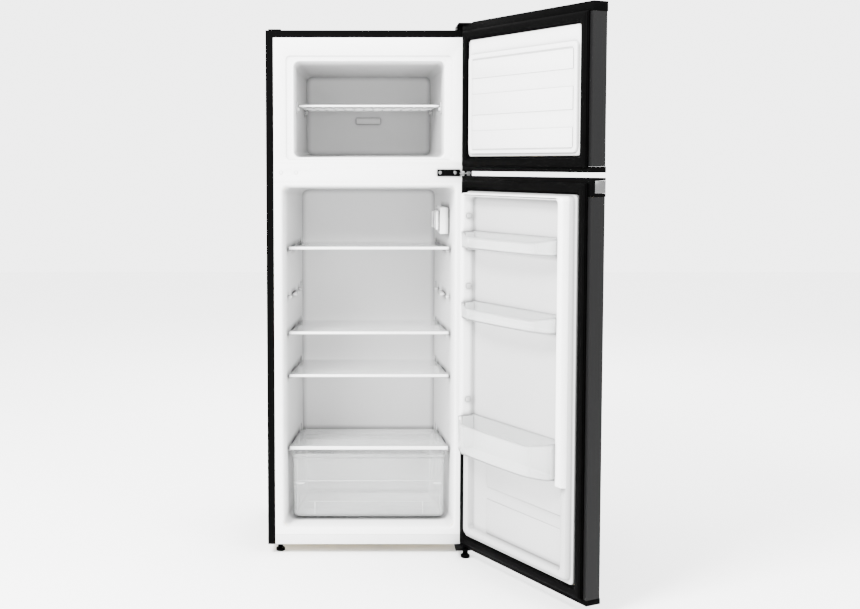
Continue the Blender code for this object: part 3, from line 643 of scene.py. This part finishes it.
class REFRIGERATOR_OT_front_trim(Maker):
    """Cross rail, foot rail, plugs, hinges, feet and the lamp housing, with softened edges"""

    bl_idname = "refrigerator.front_trim"
    bl_label = "Trim, hinges and feet"

    def execute(self, context):
        softened("mullion_cover", "cabinet", "white_liner", 0.0014, 3)
        softened("bottom_front_rail", "cabinet", "grey_rail", 0.0015)
        self.mid_hinge()
        softened("bottom_hinge_bracket", "cabinet", "black_steel", 0.0006)
        softened("top_hinge_bracket", "cabinet", "black_steel", 0.0006)
        softened("spare_hinge_plug", "cabinet", "black_plastic", 0.0004)
        softened("relay_cover", "cabinet", "black_plastic", 0.0030, 3)
        softened("mains_inlet_gland", "cabinet", "black_plastic", 0.0020, 3)
        softened("thermostat_housing", "cabinet", "white_liner", 0.0008)
        for side in ("front_foot_left", "front_foot_right", "rear_foot_left", "rear_foot_right"):
            self.foot(side)
        for number in (1, 2):
            self.screw(f"mid_hinge_screw_{number}")
            self.plug(f"mullion_plug_{number}")
        return {"FINISHED"}

    def mid_hinge(self):
        """A black plate, and the bare steel arm that carries the pin."""
        low, high = closed_box("mid_hinge_bracket", SHIFT)
        plate_z, arm_z = (1.0287, 1.0466), (1.0345, 1.0375)
        bm = bmesh.new()
        add_box(bm, (low.x, -0.0035, plate_z[0]), (0.2430, -0.0002, plate_z[1]), 0.0008, 3)
        publish(bm, "mid_hinge_plate", "cabinet", "black_steel", ["mid_hinge_bracket"])
        bm = bmesh.new()
        add_box(bm, (0.2405, low.y, arm_z[0]), (high.x, -0.0020, arm_z[1]), 0.0009, 3)
        profile = [(0, low.z), (0.0032, low.z), (0.0040, low.z + 0.0010)]
        profile += [(0.0040, arm_z[0]), (0.0062, arm_z[0]), (0.0062, arm_z[1] + 0.0012)]
        profile += [(0.0040, arm_z[1] + 0.0014), (0.0040, high.z - 0.0010), (0.0032, high.z), (0, high.z)]
        turned(bm, profile, (HINGE.x, HINGE.y, 0.0), (0, 0, 1), 24)
        outward(bm)
        publish(bm, "mid_hinge_arm", "cabinet", "bare_steel")

    def foot(self, node):
        low, high = closed_box(node, SHIFT)
        centre = ((low.x + high.x) / 2, (low.y + high.y) / 2, 0.0)
        radius = (high.x - low.x) / 2
        profile = [(0, 0), (radius - 0.0015, 0), (radius, 0.0015), (radius, 0.0072)]
        profile += [(radius - 0.0012, 0.0086), (0.0085, 0.0095)]
        z = 0.0105
        while z < high.z - 0.0022:
            profile += [(0.0068, z), (0.0075, z + 0.0009)]
            z += 0.0018
        profile += [(0.0070, high.z), (0, high.z)]
        bm = bmesh.new()
        turned(bm, profile, centre, (0, 0, 1), 28)
        outward(bm)
        for i in range(16):
            angle = 2 * pi * i / 16
            x, y = centre[0] + (radius - 0.0006) * cos(angle), centre[1] + (radius - 0.0006) * sin(angle)
            add_bar(bm, (x, y, 0.0015), (x, y, 0.0070), 0.0005, 6)
        publish(bm, f"{node}_finished", "cabinet", "black_plastic", [node])

    def screw(self, node):
        low, high = closed_box(node, SHIFT)
        x, z = (low.x + high.x) / 2, (low.z + high.z) / 2
        profile = [(0, 0.0001), (0.0011, 0.0004), (0.0030, 0.0002), (0.0042, -0.0004), (0.0046, -0.0014)]
        profile += [(0.0044, -0.0018), (0.0028, -0.0018), (0.0028, -0.0052), (0, -0.0052)]
        bm = bmesh.new()
        turned(bm, profile, (x, low.y + 0.0002, z), (0, -1, 0), 24)
        outward(bm)
        publish(bm, f"{node}_finished", "cabinet", "bare_steel", [node])

    def plug(self, node):
        low, high = closed_box(node, SHIFT)
        x, z = (low.x + high.x) / 2, (low.z + high.z) / 2
        profile = [(0, 0.0), (0.0026, -0.0001), (0.0040, -0.0006), (0.0042, -0.0012)]
        profile += [(0.0042, -0.006), (0, -0.006)]
        bm = bmesh.new()
        turned(bm, profile, (x, low.y + 0.0001, z), (0, -1, 0), 24)
        outward(bm)
        publish(bm, f"{node}_finished", "cabinet", "white_liner", [node])


class REFRIGERATOR_OT_glass_shelves(Maker):
    """Glass shelves with dark bars down their sides, which paint the shadow in the gap between glass and wall, and
    their white front trims
    """

    bl_idname = "refrigerator.glass_shelves"
    bl_label = "Glass shelves"

    def execute(self, context):
        bodies = ("top_shelf", "middle_shelf", "lower_shelf", "cabinet")
        glasses = ("glass_shelf_1", "glass_shelf_2", "glass_shelf_3", "crisper_cover")
        trims = ("shelf_trim_1", "shelf_trim_2", "shelf_trim_3", "crisper_cover_trim")
        for body, glass, trim in zip(bodies, glasses, trims):
            softened(glass, body, "clear_glass", 0.0006, 2)
            low, high = closed_box(trim, SHIFT)
            bm = bmesh.new()
            add_box(bm, low, high, 0.0018, 3)
            publish(bm, f"{trim}_finished", body, "white_liner", [trim])
            self.edges(body, glass)
        return {"FINISHED"}

    def edges(self, body, glass):
        """Dark bars down both sides of a glass sheet: painted shadow of the narrow gap between the glass edge and
        the wall.
        """
        place = SHIFT.inverted()
        points = [place @ vert.co for vert in frame["nodes"][glass].data.vertices]
        top = max(point.z for point in points)
        deep = max(point.y for point in points)
        rear = max(point.x for point in points if point.y > deep - 0.001)
        front = max(point.x for point in points)
        near = min(point.y for point in points)
        z = top - 0.0019
        bm = bmesh.new()
        for side in (-1, 1):
            start = (side * (front - 0.0016), near + 0.004, z)
            add_bar(bm, start, (side * (rear - 0.0016), deep - 0.002, z), 0.0017, 8)
        publish(bm, f"{glass}_edges", body, "glass_edge_shadow")


class REFRIGERATOR_OT_wire_shelf(Maker):
    """The freezer's white wire shelf"""

    bl_idname = "refrigerator.wire_shelf"
    bl_label = "Wire shelf"

    def execute(self, context):
        low, high = closed_box("wire_shelf", SHIFT)
        z = (low.z + high.z) / 2
        thick = (high.z - low.z) / 2
        front, back = low.y + thick, high.y - thick
        half, rear_half = high.x, 0.1790
        bm = bmesh.new()
        turned(bm, self.bar_profile(half, thick), (0, front, z), (1, 0, 0), 16)
        turned(bm, self.bar_profile(rear_half, thick), (0, back, z), (1, 0, 0), 16)
        outward(bm)
        cross_y, cross_z = front + 0.135, z - 0.0024
        add_bar(bm, (-half + 0.01, cross_y, cross_z), (half - 0.015, cross_y, cross_z), 0.0016)
        count = self.sizes.wires
        for i in range(count):
            t = 2 * i / (count - 1) - 1
            start = (t * (half - 0.005), front, z)
            add_bar(bm, start, (t * (rear_half - 0.003), back, z), self.sizes.wire, 8)
        publish(bm, "freezer_wire_shelf", "freezer_shelf", "white_wire", ["wire_shelf"])
        return {"FINISHED"}

    def bar_profile(self, half, radius):
        turns = [pi / 8 * step for step in range(5)]
        end = [(radius * sin(turn), half - radius + radius * cos(turn)) for turn in turns]
        return end + [(r, -d) for r, d in reversed(end)]


class REFRIGERATOR_OT_crisper(Maker):
    """The clear drawer: walls, rolled rim, hand lip and front ribs"""

    bl_idname = "refrigerator.crisper"
    bl_label = "Crisper drawer"

    def execute(self, context):
        low, high = closed_box("crisper_drawer", SHIFT)
        wall, rear_half = self.sizes.clear_wall, 0.1860
        front, back = low.y, high.y

        def ring(grow, up, radius, steps=5):
            points = []
            for x_side, y_side, start in ((-1, -1, pi), (1, -1, 1.5 * pi), (1, 1, 0.0), (-1, 1, 0.5 * pi)):
                half = (high.x if y_side < 0 else rear_half) + grow
                y = (front - grow if y_side < 0 else back + grow) - y_side * radius
                for step in range(steps + 1):
                    turn = start + pi / 2 * step / steps
                    x = x_side * (half - radius) + radius * cos(turn)
                    points.append((x, y + radius * sin(turn), up))
            return points

        bm = bmesh.new()
        rings = [
            ring(-0.0170, low.z, 0.010),
            ring(-0.0110, low.z + 0.0012, 0.012),
            ring(-0.0070, low.z + 0.0042, 0.013),
            ring(-0.0045, low.z + 0.0095, 0.014),
            ring(-0.0018, high.z - 0.0100, 0.014),
            ring(0.0000, high.z - 0.0092, 0.014),
            ring(0.0000, high.z - 0.0008, 0.014),
            ring(-0.0008, high.z, 0.0135),
            ring(-0.0036, high.z, 0.0130),
            ring(-0.0018 - wall, high.z - 0.0060, 0.0125),
            ring(-0.0045 - wall, low.z + 0.0110, 0.0125),
            ring(-0.0085 - wall, low.z + 0.0045, 0.0110),
            ring(-0.0150 - wall, low.z + wall, 0.0090),
        ]
        loft(bm, rings)
        publish(bm, "clear_crisper_drawer", "crisper", "clear_plastic", ["crisper_drawer"], smooth=30)
        bm = bmesh.new()
        loft(bm, [ring(grow, high.z - drop, 0.014) for grow, drop in HOOP], ends=False)
        loft(bm, [ring(grow - 0.0020, high.z - 0.0100 - drop, 0.014) for grow, drop in HOOP], ends=False)
        loft(bm, [ring(grow - 0.0060, low.z + 0.0070 - drop, 0.013) for grow, drop in HOOP], ends=False)
        for side in (-1, 1):
            x, y = side * (high.x - 0.0030), front + 0.0100
            add_bar(bm, (x - side * 0.0040, y, low.z + 0.008), (x, y, high.z), 0.0009, 8)
        publish(bm, "drawer_rim", "crisper", "clear_rim")
        bm = bmesh.new()
        face = front + 0.0026
        upper, lower = 0.1863, 0.1286
        add_box(bm, (-0.2000, face, upper - 0.0016), (0.2000, face + 0.0045, upper), 0.0006)
        add_box(bm, (-0.1700, face + 0.0010, lower - 0.0014), (0.1700, face + 0.0050, lower), 0.0006)
        tall = (face + 0.0004, low.z + 0.020), (face + 0.0040, high.z - 0.012)
        short = (face + 0.0012, low.z + 0.010), (face + 0.0050, lower)
        tabs = (face + 0.0002, upper - 0.0110), (face + 0.0050, upper - 0.0040)
        add_pair(bm, 0.1960, 0.1977, *tall, 0.0006)
        add_pair(bm, 0.1480, 0.1500, *short, 0.0006)
        add_pair(bm, 0.1780, 0.2010, *tabs, 0.0018)
        publish(bm, "drawer_ribs", "crisper", "clear_edge")
        return {"FINISHED"}


class REFRIGERATOR_OT_lamp(Maker):
    """The thermostat's round knob, the lamp's cover and bulb"""

    bl_idname = "refrigerator.lamp"
    bl_label = "Lamp and thermostat"

    def execute(self, context):
        softened("lamp_lens", "cabinet", "frosted", 0.0006)
        low, high = closed_box("lamp_bulb", SHIFT)
        x, y = (low.x + high.x) / 2, (low.y + high.y) / 2
        radius, tall = (high.x - low.x) / 2, high.z - low.z
        profile = [(0, 0), (0.0042, 0), (0.0042, 0.008), (0.0052, 0.010), (radius, 0.015)]
        profile += [(radius, tall - 0.005), (radius * 0.75, tall - 0.0015), (0, tall)]
        bm = bmesh.new()
        turned(bm, profile, (x, y, low.z), (0, 0, 1), 20)
        outward(bm)
        publish(bm, "small_bulb", "cabinet", "frosted", ["lamp_bulb"])

        low, high = closed_box("thermostat_knob", SHIFT)
        y, z = (low.y + high.y) / 2, (low.z + high.z) / 2
        rim, face = (high.z - low.z) / 2, 0.0062
        length = high.x - low.x
        profile = [(0, face), (rim - 0.006, face), (rim - 0.0025, face + 0.0008)]
        profile += [(rim - 0.0008, face + 0.003), (rim, face + 0.0095), (rim, 0.0155)]
        profile += [(0.0060, 0.0157), (0.0060, length), (0, length)]
        bm = bmesh.new()
        turned(bm, [(r, -d) for r, d in profile], (low.x, y, z), (-1, 0, 0), 40)
        outward(bm)
        blade = 0.0035, rim - 0.005
        corner = (low.x, y - blade[0], z - blade[1])
        add_box(bm, corner, (low.x + face + 0.002, y + blade[0], z + blade[1]), 0.0016, 3)
        for i in range(30):
            angle = 2 * pi * i / 30
            ey, ez = y + (rim - 0.0004) * cos(angle), z + (rim - 0.0004) * sin(angle)
            add_bar(bm, (low.x + 0.0100, ey, ez), (low.x + 0.0150, ey, ez), 0.0004, 6)
        publish(bm, "thermostat_dial", "knob", "white_liner", ["thermostat_knob"])
        return {"FINISHED"}


class REFRIGERATOR_OT_freezer_door(Maker):
    """The freezer door's liner with its raised frame and three broad bands, its gasket and caps"""

    bl_idname = "refrigerator.freezer_door"
    bl_label = "Freezer door"

    def execute(self, context):
        low, high = closed_box("freezer_door_liner")
        half, top = high.x, high.y
        sections = [
            (top - 0.0072, half, low.z, high.z, 0.0100),
            (top - 0.0060, half - 0.0012, low.z + 0.0012, high.z - 0.0012, 0.0095),
            (top - 0.0058, 0.2305, 1.0866, 1.3450, 0.0150),
            (top - 0.0008, 0.2285, 1.0885, 1.3428, 0.0140),
            (top, 0.2270, 1.0900, 1.3412, 0.0130),
            (top - 0.0002, 0.2170, 1.0950, 1.3330, 0.0100),
            (top - 0.0010, 0.2155, 1.0962, 1.3316, 0.0092),
            (top - 0.0026, 0.2145, 1.0970, 1.3306, 0.0086),
            (top - 0.0030, 0.2128, 1.0986, 1.3290, 0.0080),
        ]
        bm = bmesh.new()
        moulding(bm, sections, -self.sizes.sheet)
        publish(
            bm, "freezer_door_moulding", "freezer_door", "door_panel", ["freezer_door_liner"]
        )
        bm = bmesh.new()
        field = top - 0.0030
        for low_z, high_z in ((1.0995, 1.1465), (1.1875, 1.2405), (1.2815, 1.3280)):
            add_box(bm, (-0.2120, field - 0.0010, low_z), (0.2250, field + 0.0014, high_z), 0.0009, 3)
        publish(bm, "freezer_door_bands", "freezer_door", "door_panel")
        finish_door("freezer_door")
        return {"FINISHED"}


class REFRIGERATOR_OT_fridge_door(Maker):
    """The fridge door's liner, its deep ridge and lower panel, its gasket, caps and grip trim"""

    bl_idname = "refrigerator.fridge_door"
    bl_label = "Fridge door"

    def execute(self, context):
        low, high = closed_box("fridge_door_liner")
        half, ridge = high.x, high.y
        sections = [
            (-0.0092, half, low.z, high.z, 0.0110),
            (-0.0030, half - 0.0012, low.z + 0.0012, high.z - 0.0010, 0.0105),
            (-0.0020, half - 0.0030, low.z + 0.0030, high.z - 0.0016, 0.0100),
            (-0.0018, 0.2262, 0.0790, 0.9880, 0.0120),
            (0.0080, 0.2232, 0.0820, 0.9860, 0.0115),
            (0.0110, 0.2215, 0.0840, 0.9845, 0.0110),
            (0.0120, 0.2185, 0.0870, 0.9830, 0.0105),
            (0.0118, 0.2045, 0.0965, 0.9795, 0.0100),
            (0.0100, 0.2020, 0.0985, 0.9780, 0.0095),
            (-0.0010, 0.2000, 0.1005, 0.9765, 0.0090),
            (-0.0030, 0.1980, 0.1025, 0.9745, 0.0085),
        ]
        bm = bmesh.new()
        moulding(bm, sections, -self.sizes.sheet)
        publish(
            bm, "fridge_door_moulding", "fridge_door", "door_inside", ["fridge_door_liner"]
        )

        bm = bmesh.new()
        self.ridge(bm, ridge)
        publish(bm, "door_ridges", "fridge_door", "white_liner")
        bm = bmesh.new()
        floor = -0.0030
        for low_z, high_z in ((0.1040, 0.1940), (0.2265, 0.3080)):
            add_box(bm, (-0.1975, floor - 0.0010, low_z), (0.1300, floor + 0.0016, high_z), 0.0010, 3)
        lift = JOINTS["upper_bin_lift"]["range_m"][1]
        for node in BINS:
            low_z, high_z = (corner.z for corner in closed_box(node))
            above = high_z + lift + 0.004
            add_pair(bm, 0.1925, 0.2010, (-0.0020, low_z - 0.0080), (0.0200, low_z - 0.0012), 0.0022, 3)
            add_pair(bm, 0.1955, 0.2010, (0.0060, above), (0.0200, above + 0.0120), 0.0022, 3)
        publish(bm, "fridge_door_ribs", "fridge_door", "door_inside")
        finish_door("fridge_door")
        softened("grip_trim", "fridge_door", "silver_trim", 0.0005)
        return {"FINISHED"}

    def ridge(self, bm, top):
        """The deep frame round the bins: an arch open at its foot, with rounded edges."""
        bottom = 0.3020
        outer, inner = 0.2222, 0.2000
        crown, under = 0.9872, 0.9768

        def arch(y, grow, radius=0.012, steps=5):
            half, high = outer + grow, crown + grow
            points = [(-half, y, bottom - grow * 1.5)]
            for side, start in ((-1, pi), (1, pi / 2)):
                for step in range(steps + 1):
                    turn = start - pi / 2 * step / steps
                    x = side * (half - radius) + radius * cos(turn)
                    points.append((x, y, high - radius + radius * sin(turn)))
            points.append((half, y, bottom - grow * 1.5))
            half, high = inner - grow, under - grow
            points.append((half, y, bottom - grow * 1.5))
            for side, start in ((1, 0.0), (-1, pi / 2)):
                for step in range(steps + 1):
                    turn = start + pi / 2 * step / steps
                    x = side * (half - radius) + radius * cos(turn)
                    points.append((x, y, high - radius + radius * sin(turn)))
            points.append((-half, y, bottom - grow * 1.5))
            return points

        rows = [(-0.0060, 0.0), (-0.0010, 0.0), (0.0100, 0.0), (top - 0.0060, -0.0012)]
        rows += [(top - 0.0025, -0.0022), (top - 0.0008, -0.0038), (top, -0.0060)]
        loft(bm, [arch(y, grow) for y, grow in rows])


def finish_door(name):
    """Caps with softened edges, and a gasket with its two soft lips."""
    softened(f"{name}_top_cap", name, "black_plastic", 0.0009)
    softened(f"{name}_bottom_cap", name, "black_plastic", 0.0009)
    low, high = closed_box(f"{name}_gasket")
    wide, deep = 0.0262, high.y - low.y
    profile = [(0.0, 0.02), (0.0, 0.42), (0.0030, 0.58), (0.0012, 0.74), (0.0036, 0.95), (0.0075, 1.0)]
    profile += [(0.0165, 1.0), (0.0205, 0.93), (0.0225, 0.72), (0.0212, 0.58), (wide, 0.42), (wide, 0.02)]
    rings = [
        rounded(low.y + deep * rise, high.x - inset, low.z + inset, high.z - inset, 0.0006 + inset * 0.25, 2)
        for inset, rise in profile
    ]
    bm = bmesh.new()
    loft(bm, rings, ends=False)
    publish(bm, f"{name}_seal", name, "gasket", [f"{name}_gasket"], smooth=50)


class REFRIGERATOR_OT_bins(Maker):
    """The three clear door bins, each bowed at the front, with a rolled rim and end cheeks"""

    bl_idname = "refrigerator.bins"
    bl_label = "Door bins"

    def execute(self, context):
        bodies = ("upper_bin", "middle_bin", "bottle_bin")
        for node, body in zip(BINS, bodies):
            self.bin(node, body)
        return {"FINISHED"}

    def bin(self, node, body):
        low, high = closed_box(node)
        half, back, reach = high.x, low.y, high.y
        corner, side_y = half - 0.055, reach * 0.62
        wall, dip = self.sizes.clear_wall, 0.010
        plan = [(-half, back), (-half, side_y * 0.5), (-half, side_y - 0.006), (-half + 0.003, side_y)]
        plan += [(-corner - 0.010, reach - 0.0085), (-corner, reach - 0.0050)]
        bow = 10
        plan += [(corner * t, reach - 0.0042 * t * t) for t in [2 * i / bow - 1 for i in range(1, bow)]]
        plan += [(-x, y) for x, y in plan[5::-1]]

        def ring(grow, up, follow):
            points = []
            for x, y in plan:
                rise = min(max((abs(x) - corner) / (half - corner), 0.0), 1.0)
                z = up - (dip * (1 - rise) if follow else 0.0)
                deep = (y - back) / (reach - back)
                points.append((x * (1 + grow / half), y + grow * (2 * deep - 1), z))
            return points

        bm = bmesh.new()
        rings = [
            ring(-0.0080, low.z, False),
            ring(-0.0045, low.z + 0.0008, False),
            ring(-0.0028, low.z + 0.0040, False),
            ring(-0.0008, high.z - 0.0045, True),
            ring(0.0000, high.z - 0.0040, True),
            ring(0.0000, high.z - 0.0006, True),
            ring(-0.0006, high.z, True),
            ring(-wall - 0.0002, high.z, True),
            ring(-wall - 0.0006, high.z - 0.0006, True),
            ring(-wall - 0.0028, low.z + 0.0055, False),
            ring(-wall - 0.0060, low.z + wall + 0.0008, False),
            ring(-wall - 0.0090, low.z + wall, False),
        ]
        loft(bm, rings)
        publish(bm, f"{node}_clear", body, "clear_plastic", [node], smooth=30)
        bm = bmesh.new()
        loft(bm, [ring(grow, high.z - drop, True) for grow, drop in HOOP], ends=False)
        loft(bm, [ring(grow - 0.0024, low.z + 0.0052 - drop, False) for grow, drop in HOOP], ends=False)
        publish(bm, f"{node}_rim", body, "clear_rim")
        bm = bmesh.new()
        cheek = (back + 0.004, low.z + 0.006), (side_y - 0.014, high.z - 0.003)
        post = (reach - 0.0160, low.z + 0.005), (reach - 0.0115, high.z - 0.013)
        add_pair(bm, half - 0.0080, half - 0.0032, *cheek, 0.0016)
        add_pair(bm, corner + 0.004, corner + 0.0065, *post, 0.0010)
        publish(bm, f"{node}_ends", body, "clear_edge")


class REFRIGERATOR_OT_stage(Maker):
    """Pale floor and backdrop, soft studio light and the camera"""

    bl_idname = "refrigerator.stage"
    bl_label = "Stage"

    def execute(self, context):
        self.backdrop()
        for light in LIGHTS:
            self.light(*light)
        world = bpy.data.worlds.new("studio")
        world.use_nodes = True
        shine = world.node_tree.nodes["Background"]
        shine.inputs["Color"].default_value = (1.0, 1.0, 1.0, 1.0)
        shine.inputs["Strength"].default_value = WORLD_STRENGTH
        context.scene.world = world
        self.camera()
        return {"FINISHED"}

    def backdrop(self):
        bm = bmesh.new()
        bmesh.ops.create_grid(bm, x_segments=1, y_segments=1, size=FLOOR_SIZE)
        mesh = bpy.data.meshes.new("floor")
        bm.to_mesh(mesh)
        bm.free()
        floor = bpy.data.objects.new("floor", mesh)
        bpy.context.scene.collection.objects.link(floor)
        floor.location.z = -0.0005
        look = Look("pale floor", Roughness=0.75)
        look.set("Base Color", look.tint((0.89, 0.89, 0.89), (0.92, 0.92, 0.92), look.noise(0.6, 3.0)))
        mesh.materials.append(look.material)

    def light(self, name, place, target, size, power):
        data = bpy.data.lights.new(name, "AREA")
        data.shape = "DISK"
        data.size = size
        data.energy = power
        lamp = bpy.data.objects.new(name, data)
        lamp.location = place
        lamp.rotation_euler = (Vector(target) - Vector(place)).to_track_quat("-Z", "Y").to_euler()
        bpy.context.scene.collection.objects.link(lamp)

    def camera(self):
        data = bpy.data.cameras.new("camera")
        data.sensor_width = SENSOR_WIDTH
        data.lens = CAMERA_LENS
        data.shift_x = SIDE_SHIFT
        data.shift_y = CAMERA_LENS / SENSOR_WIDTH * tan(CAMERA_TILT) - LEVEL_SHIFT
        camera = bpy.data.objects.new("camera", data)
        camera.location = SHIFT @ CAMERA_PLACE
        camera.rotation_euler = (pi / 2 - CAMERA_TILT, 0.0, 0.0)
        bpy.context.scene.collection.objects.link(camera)
        bpy.context.scene.camera = camera


class REFRIGERATOR_PT_panel(bpy.types.Panel):
    """Lists the making steps"""

    bl_idname = "REFRIGERATOR_PT_panel"
    bl_label = "Refrigerator"
    bl_space_type = "VIEW_3D"
    bl_region_type = "UI"
    bl_category = "Refrigerator"

    def draw(self, context):
        for group in (context.scene.refrigerator_sizes, context.scene.refrigerator_tones):
            for name in group.__annotations__:
                self.layout.prop(group, name)
        for step in STEPS:
            self.layout.operator(step.bl_idname)


STEPS = (
    REFRIGERATOR_OT_finishes,
    REFRIGERATOR_OT_freezer_liner,
    REFRIGERATOR_OT_fridge_liner,
    REFRIGERATOR_OT_front_trim,
    REFRIGERATOR_OT_glass_shelves,
    REFRIGERATOR_OT_wire_shelf,
    REFRIGERATOR_OT_crisper,
    REFRIGERATOR_OT_lamp,
    REFRIGERATOR_OT_freezer_door,
    REFRIGERATOR_OT_fridge_door,
    REFRIGERATOR_OT_bins,
    REFRIGERATOR_OT_stage,
)
CLASSES = (RefrigeratorSizes, RefrigeratorTones, *STEPS, REFRIGERATOR_PT_panel)


def register():
    for each in CLASSES:
        bpy.utils.register_class(each)
    bpy.types.Scene.refrigerator_sizes = bpy.props.PointerProperty(type=RefrigeratorSizes)
    bpy.types.Scene.refrigerator_tones = bpy.props.PointerProperty(type=RefrigeratorTones)


def unregister():
    del bpy.types.Scene.refrigerator_tones
    del bpy.types.Scene.refrigerator_sizes
    for each in reversed(CLASSES):
        bpy.utils.unregister_class(each)


def main():
    register()
    for step in STEPS:
        group, name = step.bl_idname.split(".")
        if getattr(getattr(bpy.ops, group), name)() != {"FINISHED"}:
            raise RuntimeError(f"{step.bl_label} did not finish")


if __name__ == "__main__":
    main()
